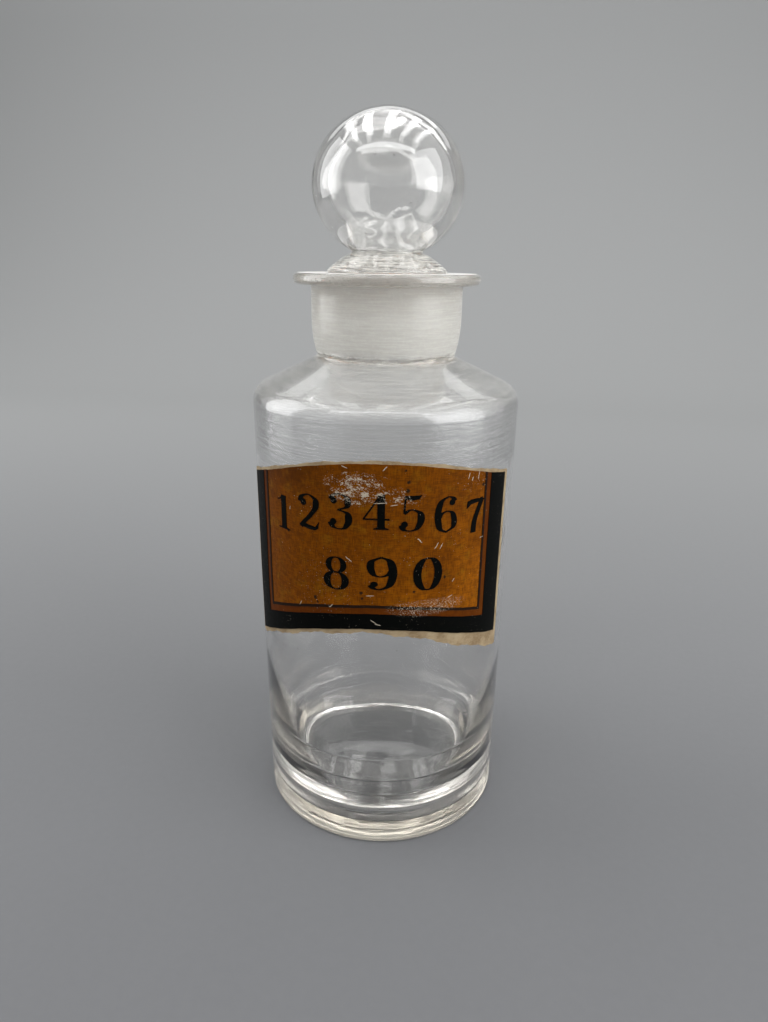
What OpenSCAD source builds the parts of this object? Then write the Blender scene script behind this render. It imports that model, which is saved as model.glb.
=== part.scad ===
// Apothecary bottle: a shop round of clear glass with a ground-in hollow ball stopper
// and a gilt label. Millimetres, +Z up, z = 0 is the table, the label faces -Y.

/* [Body] */
// Outside diameter of the body at the shoulder
body_d = 95; // [86:0.5:104]
// Outside diameter of the body just above its foot
foot_d = 93.4; // [86:0.1:104]
// Height of the body's side, from the table to the shoulder's corner
side_h = 158.9; // [150:0.1:180]
// Rounding of the outer edge of the foot
foot_edge_r = 1.4; // [0.6:0.1:3]
// Rounding of the shoulder's corner
corner_r = 7; // [4:0.5:11]
// Fall of the shoulder away from the neck, in degrees
shoulder_slope = 25; // [18:0.5:32]
// Glass thickness of the side and the shoulder
wall_t = 2.2; // [1.6:0.1:3.5]

/* [Base] */
// Glass thickness under the edge of the inner floor
floor_t = 4.5; // [3.5:0.1:12]
// Rise of the inner floor from its edge to its middle
floor_rise = 3.4; // [0:0.1:6]
// Height at which the side starts to thicken towards the base
heel_h = 62; // [40:1:80]
// Extra thickness that the side has gained where it meets the floor
heel_t = 7; // [3:0.1:9]
// Rounding between the side and the inner floor
heel_r = 3; // [2:0.5:8]
// Diameter of the hollow pushed up under the base
kick_d = 72; // [60:1:80]
// Height of the pushed-up hollow at its middle
kick_h = 3.2; // [1:0.1:5]
// Diameter of the polished pontil mark in the middle of the hollow
pontil_d = 46; // [20:1:54]
// Depth of the pontil mark
pontil_h = 1; // [0.2:0.1:1.4]

/* [Neck] */
// Outside diameter of the neck under the lip
neck_d = 52.4; // [49:0.1:58]
// Amount that the neck's radius draws in at its root
neck_tuck = 1.7; // [0.5:0.1:2.4]
// Height over which the neck draws in
tuck_h = 12.5; // [8:0.5:16]
// Rounding in the crease between the neck and the shoulder
root_r = 1; // [0.5:0.1:2]
// Rounding inside the bottle where the bore opens into the shoulder
throat_r = 4.5; // [3:0.1:6]
// Height of the mouth above the shoulder's corner
mouth_rise = 43; // [38:0.1:52]
// Diameter of the flat lip
lip_d = 64.4; // [60:0.1:72]
// Thickness of the lip
lip_t = 3.7; // [3:0.1:5]
// Rounding of the lip's rim
lip_edge_r = 1.5; // [0.6:0.1:1.5]
// Diameter of the ground bore at the mouth
bore_d = 40.6; // [36:0.1:43]
// Rounding of the edge between the bore and the lip's top
mouth_edge_r = 0.7; // [0.3:0.1:1.2]
// Length of bore in which the ground taper loses one unit of diameter
taper_ratio = 10; // [8:0.5:16]

/* [Stopper] */
// Radial gap between the ground plug and the ground bore
plug_gap = 0.05; // [0.02:0.01:0.1]
// Depth of the plug below the mouth
plug_l = 25; // [18:0.5:28]
// Rounding of the plug's lower edge
plug_edge_r = 1.2; // [0.4:0.1:2]
// Gap between the mouth and the domed cap over the plug
cap_gap = 0.3; // [0.2:0.05:0.6]
// Amount that the domed cap stands out past the plug
cap_over = 0.35; // [0.2:0.05:0.6]
// Rise of the domed cap from the mouth to the waist
cap_h = 6.5; // [5:0.1:9]
// Bulge of the domed cap's side
cap_bulge = 0.5; // [0.1:0.1:0.9]
// Diameter of the waist under the ball
waist_d = 24.2; // [21:0.1:28]
// Length of the waist between the cap and the ball
waist_l = 0.4; // [0.2:0.1:2]
// Diameter of the ball
ball_d = 50.6; // [47:0.1:56]
// Height that the ball would have if its lower end weren't cut by the waist
ball_h = 46.6; // [42:0.1:56]

/* [Bubble] */
// Glass thickness at the side of the ball
ball_wall = 4.8; // [3.5:0.1:6]
// Glass thickness at the ball's crown
crown_t = 4.6; // [3:0.1:6]
// Diameter of the bubble where it passes through the waist
bubble_waist_d = 17; // [12:0.5:17]
// Glass thickness around the bubble in the plug
plug_wall = 4.2; // [3.4:0.1:5.5]
// Glass thickness under the bubble in the plug
plug_floor = 5; // [3.5:0.1:6]
// Depth below the mouth at which the bubble has its full width in the plug
bubble_knee = 2.2; // [1:0.1:4]
// Rounding of the bubble's lower end
bubble_end_r = 7; // [4:0.5:7]

/* [Label] */
// Width of the gilt face round the body, edge to edge of its border
label_w = 106; // [80:1:120]
// Height above the table of the gilt face's lower edge, at its crown
label_z = 90.6; // [70:0.1:92]
// Height of the gilt face at its crown
label_h = 56.8; // [40:0.1:57]
// Distance of the crown of the label's edges to the right of its middle
crown_x = 3; // [-5:0.5:5]
// Radius of the arched top edge, seen from the front
top_arch_r = 98; // [75:1:400]
// Radius of the arched lower edge, seen from the front
foot_arch_r = 73; // [68:1:400]
// Radius of the arched upper edge of the black border's foot
window_arch_r = 84; // [70:1:400]
// Height of the border's foot at the crown
border_foot_h = 5.6; // [3:0.1:8]
// Width of the border's sides
border_side_w = 9; // [5:0.1:12]
// Gap between the border and the thin rule inside it
rule_gap = 2.2; // [1.2:0.1:4]
// Width of the thin rule
rule_w = 1; // [0.5:0.1:1.5]
// Bare paper showing beyond each side of the border
side_margin = 2.6; // [1:0.1:5]
// Bare paper showing above the gilt face
top_margin = 1.2; // [0.5:0.1:3]
// Bare paper that always shows below the border
foot_margin = 1.6; // [0.8:0.1:3]
// Extra depth of the torn paper at the right end of the lower edge
tear_h = 4.5; // [1:0.1:7]
// Thickness of the paste under the label
paste_t = 0.05; // [0.02:0.01:0.1]
// Thickness of the paper
paper_t = 0.25; // [0.15:0.01:0.4]
// Thickness of each layer of gilding and paint
paint_t = 0.12; // [0.05:0.01:0.15]
// Gap between one layer of the label and the next
layer_gap = 0.05; // [0.02:0.01:0.08]

/* [Hidden] */
$fn = 96;
// Steps in one rounded corner, in one long curve, in the ball's side and in a whole arch circle
corner_steps = 8;
curve_steps = 20;
ball_steps = 40;
arch_steps = 360;
// Extra length of a shape that only cuts, so that it passes right through
slack = 1;

// Heights and slopes that follow from the sizes above
mouth_z = side_h + mouth_rise;
lip_z = mouth_z - lip_t;
fall = tan(shoulder_slope);
square_off = cos(shoulder_slope);
corner_x = body_d / 2 - corner_r;
// Height at which the line of the shoulder would meet the axis, outside and inside
outer_apex = side_h + corner_r / square_off + corner_x * fall;
inner_apex = outer_apex - wall_t / square_off;
taper = 1 / (2 * taper_ratio);
// The inner rounding under the bore touches both the taper and the shoulder
throat_z = (inner_apex - fall * (bore_d / 2 + throat_r - taper * mouth_z) + throat_r / square_off)
    / (1 + fall * taper);
// Angle below the ball's middle at which the waist cuts it, and height of that middle
ball_cut = acos(waist_d / ball_d);
ball_z = mouth_z + cap_h + waist_l + ball_h / 2 * sin(ball_cut);
// Angle below the ball's middle at which the bubble starts to draw in, and how far
// its sides run straight on there and at the waist before they bend
hip_angle = 40;
hip_run = 4;
waist_run = 3;

function outer_r(z) = foot_d / 2
    + (body_d - foot_d) / 2 * (z - foot_edge_r) / (side_h - foot_edge_r);
function bore_r(z) = bore_d / 2 - taper * (mouth_z - z);
function plug_r(z) = bore_r(z) - plug_gap;

// Points along a circle's arc from one angle to another
function arc_points(x, z, r, from, to, steps) =
    [for (i = [0:steps]) let (a = from + (to - from) * i / steps) [x + r * cos(a), z + r * sin(a)]];

// Points along an oval about the axis, a wide and b high, from one angle to another
function oval_points(z, a, b, from, to, steps) =
    [for (i = [0:steps]) let (t = from + (to - from) * i / steps) [a * cos(t), z + b * sin(t)]];

// Points along a cubic curve that leaves p0 towards p1 and reaches p3 from p2
function curve_points(p0, p1, p2, p3, steps) =
    [for (i = [0:steps]) let (t = i / steps, s = 1 - t)
        s * s * s * p0 + 3 * s * s * t * p1 + 3 * s * t * t * p2 + t * t * t * p3];

// Height of a dome of radius r and height h, at the distance x from its middle
function dome(x, r, h) = h * (1 - x * x / (r * r));

// Points of such a dome that stands at height z, from the distance from to the distance to
function dome_points(from, to, r, z, h, steps) =
    [for (i = [0:steps]) let (x = from + (to - from) * i / steps) [x, z + dome(x, r, h)]];

// Points of a soft dish of radius r and depth h, from its middle to its edge at height z
function dish_points(r, z, h, steps) =
    [for (i = [0:steps]) [r * i / steps, z + h * (1 + cos(180 * i / steps)) / 2]];

// Arc from p to q that bulges by b to the right of the way from p to q
function bulge_points(p, q, b, steps) =
    let (d = q - p, l = norm(d), r = (l * l / 4 + b * b) / (2 * b),
        side = [d[1], -d[0]] / l, c = (p + q) / 2 - side * (r - b),
        from = atan2(p[1] - c[1], p[0] - c[0]), to = atan2(q[1] - c[1], q[0] - c[0]))
    arc_points(c[0], c[1], r, from, to, steps);

// Outer side of the bottle, from the foot's edge up to the rim of the lip.
// A short land parts the crease at the neck's root from the swell of the neck.
function bottle_outside() =
    let (tuck_r = (neck_tuck * neck_tuck + tuck_h * tuck_h) / (2 * neck_tuck),
        root_x = neck_d / 2 - neck_tuck + root_r,
        root_z = outer_apex - root_x * fall + root_r / square_off,
        land = root_r / 2,
        lip_x = lip_d / 2 - lip_edge_r)
    concat(
        arc_points(foot_d / 2 - foot_edge_r, foot_edge_r, foot_edge_r, -90, 0, corner_steps),
        arc_points(corner_x, side_h, corner_r, 0, 90 - shoulder_slope, corner_steps),
        arc_points(root_x, root_z, root_r, 270 - shoulder_slope, 180, corner_steps),
        arc_points(neck_d / 2 - tuck_r, root_z + land + tuck_h, tuck_r,
            -asin(tuck_h / tuck_r), 0, corner_steps),
        [[neck_d / 2, lip_z]],
        arc_points(lip_x, lip_z + lip_edge_r, lip_edge_r, -90, 0, corner_steps),
        arc_points(lip_x, mouth_z - lip_edge_r, lip_edge_r, 0, 90, corner_steps));

// Inner side of the bottle, from the mouth down to the middle of the floor
function bottle_inside() =
    let (wall_x = outer_r(heel_h) - wall_t,
        span = heel_h - floor_t,
        big_r = (span * span + heel_t * heel_t) / (2 * heel_t),
        big_x = wall_x - big_r,
        small_z = floor_t + heel_r,
        drop = heel_h - small_z,
        small_x = big_x + sqrt((big_r - heel_r) * (big_r - heel_r) - drop * drop),
        turn = atan2(-drop, small_x - big_x),
        dome_turn = atan(2 * floor_rise / small_x),
        dome_x = small_x - heel_r * sin(dome_turn),
        dome_z = small_z - heel_r * cos(dome_turn))
    concat(
        arc_points(bore_r(mouth_z) + mouth_edge_r, mouth_z - mouth_edge_r, mouth_edge_r,
            90, 180, corner_steps),
        arc_points(bore_r(throat_z) + throat_r, throat_z, throat_r,
            180, 270 - shoulder_slope, corner_steps),
        arc_points(corner_x, side_h, corner_r - wall_t, 90 - shoulder_slope, 0, corner_steps),
        arc_points(big_x, heel_h, big_r, 0, turn, curve_steps),
        arc_points(small_x, small_z, heel_r, turn, -90 - dome_turn, corner_steps),
        dome_points(dome_x, 0, dome_x, dome_z, floor_rise, curve_steps));

// Under the base, from the pontil mark out to the ring that the bottle stands on
function bottle_underside() =
    let (kick_r = kick_d / 2,
        mark_r = pontil_d / 2,
        mark_z = dome(mark_r, kick_r, kick_h))
    concat(
        dish_points(mark_r, mark_z, pontil_h, corner_steps),
        dome_points(mark_r, kick_r, kick_r, 0, kick_h, curve_steps));

// One blown wall from foot to lip, turned about the bottle's axis
module bottle() {
    color([0.84, 0.88, 0.86, 0.4])
        rotate_extrude()
            polygon(concat(bottle_underside(), bottle_outside(), bottle_inside()));
}

// Outer side of the stopper, from the plug's foot up to the crown of the ball
function stopper_outside() =
    let (plug_z = mouth_z - plug_l,
        cap_z = mouth_z + cap_gap,
        rim = [plug_r(cap_z) + cap_over, cap_z + cap_over],
        cap_top = [waist_d / 2, mouth_z + cap_h])
    concat(
        [[0, plug_z]],
        arc_points(plug_r(plug_z) - plug_edge_r, plug_z + plug_edge_r, plug_edge_r,
            -90, 0, corner_steps),
        [[plug_r(cap_z), cap_z]],
        bulge_points(rim, cap_top, cap_bulge, corner_steps),
        oval_points(ball_z, ball_d / 2, ball_h / 2, -ball_cut, 90, ball_steps));

// The blown bubble: ball, waist and plug in one, from the crown down to its foot.
// The flare under the waist is as tall as the domed cap around it.
function bubble_outline() =
    let (a = ball_d / 2 - ball_wall,
        b = ball_h / 2 - crown_t,
        hollow = oval_points(ball_z, a, b, 90, -hip_angle, curve_steps),
        hip = hollow[curve_steps],
        hip_way = [-a * sin(hip_angle), -b * cos(hip_angle)],
        waist = [bubble_waist_d / 2, mouth_z + cap_h + waist_l],
        low_z = mouth_z - plug_l + plug_floor,
        low_x = plug_r(low_z) - plug_wall,
        knee = [low_x, mouth_z - bubble_knee])
    concat(
        hollow,
        curve_points(hip, hip + hip_way / norm(hip_way) * hip_run, waist + [0, waist_run], waist,
            corner_steps),
        curve_points(waist, waist - [0, waist_run], knee + [0, cap_h], knee, corner_steps),
        arc_points(low_x - bubble_end_r, low_z + bubble_end_r, bubble_end_r, 0, -90, corner_steps),
        [[0, low_z]]);

// Ball, waist, cap and ground plug: one piece, hollow all the way down
module stopper() {
    color([0.86, 0.9, 0.88, 0.4])
        difference() {
            rotate_extrude() polygon(stopper_outside());
            rotate_extrude() polygon(bubble_outline());
        }
}

// How far the gilding and the paint lie off the glass
gild_t = paste_t + paper_t + layer_gap;
coat_t = gild_t + paint_t + layer_gap;
// Ripple of the torn lower edge: half its height, and its degrees for each millimetre
ripple_h = 0.35;
ripple_turn = 14;
tear_steps = 24;
// Radius of the side behind the label, and how far the label's shapes reach sideways
label_top = label_z + label_h;
label_r = outer_r(label_z + label_h / 2);
reach = body_d;
// Heights between which the layers are cut from the side: past all that they hold
sheet_low = label_z - arch_drop(body_d / 2 + abs(crown_x), foot_arch_r)
    - foot_margin - tear_h - 2 * ripple_h - slack;
sheet_high = label_top + top_margin + slack;

// Fall of an arch of radius r below its crown, at the distance x from the crown
function arch_drop(x, r) = r - sqrt(max(0, r * r - x * x));
function degrees_round(w) = w / label_r * 180 / PI;

// A thin shell that hugs the tapered side, a given width round the body
module sheet(lift, t, w) {
    turn = degrees_round(w);
    rotate([0, 0, 270 - turn / 2])
        rotate_extrude(angle = turn)
            polygon([[outer_r(sheet_low) + lift, sheet_low],
                [outer_r(sheet_low) + lift + t, sheet_low],
                [outer_r(sheet_high) + lift + t, sheet_high],
                [outer_r(sheet_high) + lift, sheet_high]]);
}

// A wedge of the space in front, as wide round the body as the sheet it cuts
module wedge(w) {
    turn = degrees_round(w);
    rotate([0, 0, 270 - turn / 2])
        rotate_extrude(angle = turn)
            translate([label_r / 2, sheet_low - slack])
                square([label_r, sheet_high - sheet_low + 2 * slack]);
}

// Cuts an outline drawn in the front view straight back through the label
module from_front() {
    rotate([90, 0, 0]) linear_extrude(height = reach) children();
}

// Front view: everything below an edge arched to the crown height z
module below_arch(z, r) {
    translate([crown_x, z - r]) circle(r = r, $fn = arch_steps);
}

// Front view: the print, between its arched top edge and an arched lower edge
module between_arches(low_z, low_r) {
    difference() {
        below_arch(label_top, top_arch_r);
        below_arch(low_z, low_r);
    }
}

// Front view of the paper: the arched edge at the top, a torn edge at the foot
module paper_outline() {
    half = body_d / 2 + side_margin;
    bottom_z = sheet_low - foot_arch_r;
    difference() {
        below_arch(label_top + top_margin, top_arch_r + top_margin);
        polygon(concat(
            [for (i = [0:tear_steps]) let (x = half * (2 * i / tear_steps - 1)) [x, torn_z(x)]],
            [[half, bottom_z], [-half, bottom_z]]));
    }
}

// Height of the torn lower edge: it follows the border, ripples, and hangs low at the right
function torn_z(x) =
    let (right = min(1, max(0, x / label_r)),
        hang = tear_h * right * right * (3 - 2 * right))
    label_z - arch_drop(x - crown_x, foot_arch_r) - foot_margin - hang
        - ripple_h * (1 + sin(ripple_turn * x));

// Paper pasted on the glass
module label_paper() {
    color("tan")
        intersection() {
            sheet(paste_t, paper_t, label_w + 2 * side_margin);
            from_front() paper_outline();
        }
}

// Gilt face over the whole print
module label_gilding() {
    color("darkgoldenrod")
        intersection() {
            sheet(gild_t, paint_t, label_w);
            from_front() between_arches(label_z, foot_arch_r);
        }
}

// Black border at the left, the foot and the right
module label_border() {
    color([0.1, 0.09, 0.08])
        difference() {
            intersection() {
                sheet(coat_t, paint_t, label_w);
                from_front() between_arches(label_z, foot_arch_r);
            }
            window(0);
        }
}

// The space inside the border, drawn in by a further amount all round
module window(inset) {
    intersection() {
        wedge(label_w - 2 * (border_side_w + inset));
        from_front() difference() {
            translate([-reach, sheet_low]) square([2 * reach, sheet_high - sheet_low]);
            below_arch(label_z + border_foot_h + inset, window_arch_r + inset);
        }
    }
}

// Thin rule that runs inside the border
module label_rule() {
    color([0.16, 0.08, 0.05])
        intersection() {
            difference() {
                sheet(coat_t, paint_t, label_w - 2 * (border_side_w + rule_gap));
                window(rule_gap + rule_w);
            }
            from_front() between_arches(label_z + border_foot_h + rule_gap, window_arch_r + rule_gap);
        }
}

bottle();
stopper();
label_paper();
label_gilding();
label_border();
label_rule();
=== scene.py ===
# %% [markdown]
# # A shop round with a ball stopper
#
# The real object is two pieces of blown glass and one pasted label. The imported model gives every
# size, and this lesson gives the looks: clear and ground glass, aged paper, gilding and paint.
# Everything is drawn in metres about one upright axis, so a ring of glass is a radius and a height.

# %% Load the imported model
import math

import bpy
from mathutils import Matrix, Vector


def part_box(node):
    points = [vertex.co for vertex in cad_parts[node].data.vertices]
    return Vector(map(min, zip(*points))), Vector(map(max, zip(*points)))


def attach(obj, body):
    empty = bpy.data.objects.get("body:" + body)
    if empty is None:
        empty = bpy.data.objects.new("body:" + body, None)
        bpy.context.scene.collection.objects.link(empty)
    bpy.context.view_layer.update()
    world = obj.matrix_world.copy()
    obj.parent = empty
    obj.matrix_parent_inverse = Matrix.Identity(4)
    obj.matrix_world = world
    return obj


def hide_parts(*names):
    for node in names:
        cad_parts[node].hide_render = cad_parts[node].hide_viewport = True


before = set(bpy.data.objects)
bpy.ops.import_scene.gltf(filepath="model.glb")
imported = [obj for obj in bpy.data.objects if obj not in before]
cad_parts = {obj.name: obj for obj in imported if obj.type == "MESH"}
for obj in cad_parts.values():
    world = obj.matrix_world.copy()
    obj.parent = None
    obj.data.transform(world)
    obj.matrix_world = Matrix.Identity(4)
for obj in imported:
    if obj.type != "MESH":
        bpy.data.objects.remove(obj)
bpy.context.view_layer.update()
MM = 0.001

# %% [markdown]
# ## Sizes
#
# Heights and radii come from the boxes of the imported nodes, in millimetres here, because a glass
# maker thinks in them. What the boxes don't show, such as the wall or the taper of the bore, is a
# named value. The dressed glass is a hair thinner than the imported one, to stay inside it.

# %% Read the frame
body_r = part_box("bottle")[1].x / MM
mouth_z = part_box("bottle")[1].z / MM
crown_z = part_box("stopper")[1].z / MM
plug_low_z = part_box("stopper")[0].z / MM
ball_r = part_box("stopper")[1].x / MM
skin, wall, shoulder_h = 0.1, 2.2, 43
side_z = mouth_z - shoulder_h
print(f"body {2 * body_r:.1f}, mouth {mouth_z:.1f}, crown {crown_z:.1f}, ball {2 * ball_r:.1f} mm")

# %% [markdown]
# ## Outlines as arcs and lines
#
# A turner cuts a shape from arcs and straight runs. These helpers give such runs as lists of
# (radius, height) points, close enough together for smooth glass.


# %% Helpers for outlines
def arc(x, z, r, start, end, steps=8):
    """Points along a circle's arc, from one angle to another in degrees."""
    turns = [math.radians(start + (end - start) * i / steps) for i in range(steps + 1)]
    return [(x + r * math.cos(t), z + r * math.sin(t)) for t in turns]


def line(start, end, step=4):
    """Points along a straight run, without its two ends."""
    count = max(1, round(math.dist(start, end) / step))
    return [tuple(a + (b - a) * i / count for a, b in zip(start, end)) for i in range(1, count)]


def dome(x, r, h):
    """Height of a dome of radius r and height h, at the distance x from its middle."""
    return h * (1 - x * x / (r * r))


def curve(p0, p1, p2, p3, steps=14):
    """Points along a cubic curve that leaves p0 towards p1 and reaches p3 from p2."""
    points = []
    for i in range(steps + 1):
        t = i / steps
        w = ((1 - t) ** 3, 3 * (1 - t) ** 2 * t, 3 * (1 - t) * t * t, t ** 3)
        points.append(tuple(sum(k * p[j] for k, p in zip(w, (p0, p1, p2, p3))) for j in (0, 1)))
    return points


# %% [markdown]
# ## Turning glass
#
# Blown glass is round because the blower never stops turning it. The same is done here: the outline
# is drawn as one chain of points, from one end of the axis to the other, and spun once round. Its
# ends lie on the axis, so that the spin closes the wall at both poles. Clear glass shows every flat
# of a coarse mesh as a saw-tooth in what is seen through it, so the spin has many steps.


# %% Helpers for modelling
SPIN_STEPS = 256


def mode(name):
    """Edit mode is for points and faces, object mode for whole pieces."""
    bpy.ops.object.mode_set(mode=name)


def deselect():
    """Leaves edit mode and selects nothing, because an operator acts on all that is selected."""
    if bpy.context.object and bpy.context.object.mode != "OBJECT":
        mode("OBJECT")
    bpy.ops.object.select_all(action="DESELECT")


def pick(*pieces):
    """Selects these pieces alone, and makes the last one active."""
    deselect()
    for piece in pieces:
        piece.select_set(True)
    bpy.context.view_layer.objects.active = pieces[-1]


def settle():
    """Makes the place, turn and scale of the selected piece part of its mesh."""
    bpy.ops.object.transform_apply(location=True, rotation=True, scale=True)


def edit_all():
    """Enters edit mode and selects the whole mesh."""
    mode("EDIT")
    bpy.ops.mesh.select_all(action="SELECT")


def select_parts(piece, kind, chosen):
    """Selects the points or the edges that chosen picks, and stays in edit mode."""
    mode("EDIT")
    bpy.ops.mesh.select_mode(type=kind)
    bpy.ops.mesh.select_all(action="DESELECT")
    mode("OBJECT")
    for part in piece.data.vertices if kind == "VERT" else piece.data.edges:
        part.select = chosen(part)
    mode("EDIT")


def face_out(merge=0, inside=False):
    """Merges points nearer than merge and turns all faces outwards, or inside for a hollow."""
    edit_all()
    if merge:
        bpy.ops.mesh.remove_doubles(threshold=merge)
    bpy.ops.mesh.normals_make_consistent(inside=inside)
    mode("OBJECT")


def keep(piece, kind, **settings):
    """Adds a modifier, sets it and applies it."""
    modifier = piece.modifiers.new(kind.lower(), kind)
    for key, value in settings.items():
        setattr(modifier, key, value)
    pick(piece)
    bpy.ops.object.modifier_apply(modifier=modifier.name)


def turn(name, outline, inside=False):
    """Spins a chain of (radius, height) points in millimetres into a closed round wall."""
    deselect()
    bpy.ops.mesh.primitive_plane_add(size=MM, location=(outline[0][0] * MM, 0, outline[0][1] * MM))
    piece = bpy.context.object
    piece.name = piece.data.name = name
    settle()
    mode("EDIT")
    bpy.ops.mesh.select_mode(type="VERT")
    bpy.ops.mesh.merge(type="CENTER")
    for (r0, z0), (r1, z1) in zip(outline, outline[1:]):
        way = ((r1 - r0) * MM, 0, (z1 - z0) * MM)
        bpy.ops.mesh.extrude_region_move(TRANSFORM_OT_translate={"value": way})
    bpy.ops.mesh.select_all(action="SELECT")
    bpy.ops.mesh.spin(steps=SPIN_STEPS, angle=2 * math.pi, center=(0, 0, 0), axis=(0, 0, 1))
    face_out(merge=0.003 * MM, inside=inside)
    bpy.ops.object.shade_smooth()
    print(name, len(outline), "points,", len(piece.data.polygons), "faces")
    return piece


# %% [markdown]
# ## The bottle
#
# One wall runs from the pontil mark under the base, out over the foot, up the side, over the
# shoulder, up the neck, round the lip, down the ground bore and back down the inside to the floor.
# The side thickens into a heavy heel. The blower's turning has left narrow rings inside it, which
# show as dark lines through the thick glass at both sides.

# %% Outline of the bottle
foot_r = body_r - 0.8
corner_r = 7
slope = math.radians(25)
foot_edge_r = 1.4
kick_r, kick_h = 36, 3.2
pontil_r, pontil_h = 23, 1
neck_r, tuck, tuck_h, root_r = 26.2, 1.7, 12.5, 1
lip_r, lip_t, lip_edge_r = 32.2, 3.7, 1.5
bore_r, taper, mouth_edge_r, throat_r = 20.3, 1 / 20, 0.7, 4.5
floor_z, floor_rise = 4.5, 3.4
heel_z, heel_t, heel_r = 62, 8.4, 2
RING_MARKS, ring_depth, ring_reach = (9.4, 14.1, 19.3, 26.2, 35.5), 0.05, 0.4

corner_x = body_r - corner_r
lip_z = mouth_z - lip_t
outer_apex = side_z + corner_r / math.cos(slope) + corner_x * math.tan(slope)
inner_apex = outer_apex - wall / math.cos(slope)


def bore_at(z):
    """Radius of the tapered bore at a height."""
    return bore_r - taper * (mouth_z - z)


def outer_at(z):
    """Radius of the bottle's side at a height."""
    return foot_r + (body_r - foot_r) * (z - foot_edge_r) / (side_z - foot_edge_r)


throat_z = (inner_apex - math.tan(slope) * (bore_at(0) + throat_r) + throat_r / math.cos(slope)) \
    / (1 + math.tan(slope) * taper)
slope_deg = math.degrees(slope)


def bottle_outside():
    tuck_big = (tuck * tuck + tuck_h * tuck_h) / (2 * tuck)
    root_x = neck_r - tuck + root_r
    root_z = outer_apex - root_x * math.tan(slope) + root_r / math.cos(slope)
    foot = arc(foot_r - foot_edge_r, foot_edge_r, foot_edge_r, -90, 0)
    shoulder = arc(corner_x, side_z, corner_r, 0, 90 - slope_deg, 16)
    root = arc(root_x, root_z, root_r, 270 - slope_deg, 180)
    neck = arc(neck_r - tuck_big, root_z + root_r / 2 + tuck_h, tuck_big,
               -math.degrees(math.asin(tuck_h / tuck_big)), 0, 12)
    under = (neck_r, lip_z)
    rim = arc(lip_r - lip_edge_r, lip_z + lip_edge_r, lip_edge_r, -90, 0) \
        + arc(lip_r - lip_edge_r, mouth_z - lip_edge_r, lip_edge_r, 0, 90)
    points = foot + line(foot[-1], shoulder[0]) + shoulder + line(shoulder[-1], root[0]) + root \
        + neck + line(neck[-1], under) + [under] + line(under, rim[0], 1.5) + rim
    return [(r - skin, z) for r, z in points]


def ring_mark(z):
    """Depth of the narrow rings that the blower's turning left in the heel."""
    return sum(ring_depth * math.exp(-((z - mark) / ring_reach) ** 2) for mark in RING_MARKS)


def bottle_inside():
    wall_x = outer_at(heel_z) - wall
    span = heel_z - floor_z
    big = (span * span + heel_t * heel_t) / (2 * heel_t)
    small_z = floor_z + heel_r
    small_x = wall_x - big + math.sqrt((big - heel_r) ** 2 - (heel_z - small_z) ** 2)
    heel_end = math.degrees(math.atan2(small_z - heel_z, small_x - wall_x + big))
    mouth = arc(bore_at(mouth_z) + mouth_edge_r, mouth_z - mouth_edge_r, mouth_edge_r, 90, 180)
    throat = arc(bore_at(throat_z) + throat_r, throat_z, throat_r, 180, 270 - slope_deg, 10)
    shoulder = arc(corner_x, side_z, corner_r - wall, 90 - slope_deg, 0, 14)
    low_z = heel_z + big * math.sin(math.radians(heel_end))
    heights = [heel_z + (low_z - heel_z) * i / 44 for i in range(45)] \
        + [mark + step for mark in RING_MARKS for step in (-0.8, -0.5, -0.25, 0, 0.25, 0.5, 0.8)]
    heel = [(wall_x - big + math.sqrt(big * big - (heel_z - z) ** 2) + ring_mark(z), z)
            for z in sorted(heights, reverse=True)]
    tilt = math.degrees(math.atan(2 * floor_rise / small_x))
    bowl = arc(small_x, small_z, heel_r, heel_end, -90 - tilt, 14)[1:]
    edge_r, edge_z = bowl[-1]
    floor = [(edge_r * i / 24, edge_z + dome(edge_r * i / 24, edge_r, floor_rise))
             for i in range(23, -1, -1)]
    return mouth + line(mouth[-1], throat[0]) + throat + line(throat[-1], shoulder[0]) + shoulder \
        + line(shoulder[-1], heel[0]) + heel + bowl + floor


def bottle_underside():
    mark_z = dome(pontil_r, kick_r, kick_h)
    mark = [(pontil_r * i / 10, mark_z + pontil_h * (1 + math.cos(math.pi * i / 10)) / 2)
            for i in range(11)]
    kick = [pontil_r + (kick_r - pontil_r) * i / 20 for i in range(1, 21)]
    return mark + [(r, dome(r, kick_r, kick_h)) for r in kick] \
        + line((kick_r, 0), (foot_r - foot_edge_r - skin, 0))


# %% Turn the bottle
bottle = turn("bottle_glass", bottle_underside() + bottle_outside() + bottle_inside())

# %% [markdown]
# Hand-blown glass is never quite round. A Displace modifier with a slow cloud pattern moves the
# wall by a tenth of a millimetre or so, outwards here and inwards there, and the inner wall the
# other way, so that the glass bends the view as old glass does. The ground bore is left true,
# because the stopper has to seat in it, and so is the ring that the bottle stands on.


# %% Make the glass uneven
def blow(piece, still, size, depth):
    """Moves a glass wall by a slow cloud pattern, as freely as still says at each point."""
    group = piece.vertex_groups.new(name="free_glass")
    for vertex in piece.data.vertices:
        r = math.hypot(vertex.co.x, vertex.co.y) / MM
        group.add([vertex.index], max(0, min(1, still(r, vertex.co.z / MM))), "REPLACE")
    clouds = bpy.data.textures.new(piece.name + "_waves", type="CLOUDS")
    clouds.noise_scale = size * MM
    clouds.noise_depth = 1
    keep(piece, "DISPLACE", texture=clouds, texture_coords="LOCAL", vertex_group=group.name,
         mid_level=0.5, strength=depth * MM)


def bottle_still(r, z):
    """Lets the wall wander away from the bore, the lip's top and the heavy heel."""
    near_bore = (r - bore_r - 1.5) / 3 if z > throat_z - 6 else 1
    return min(near_bore, (z - 30) / 40, (mouth_z - 1 - z) / 3)


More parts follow.
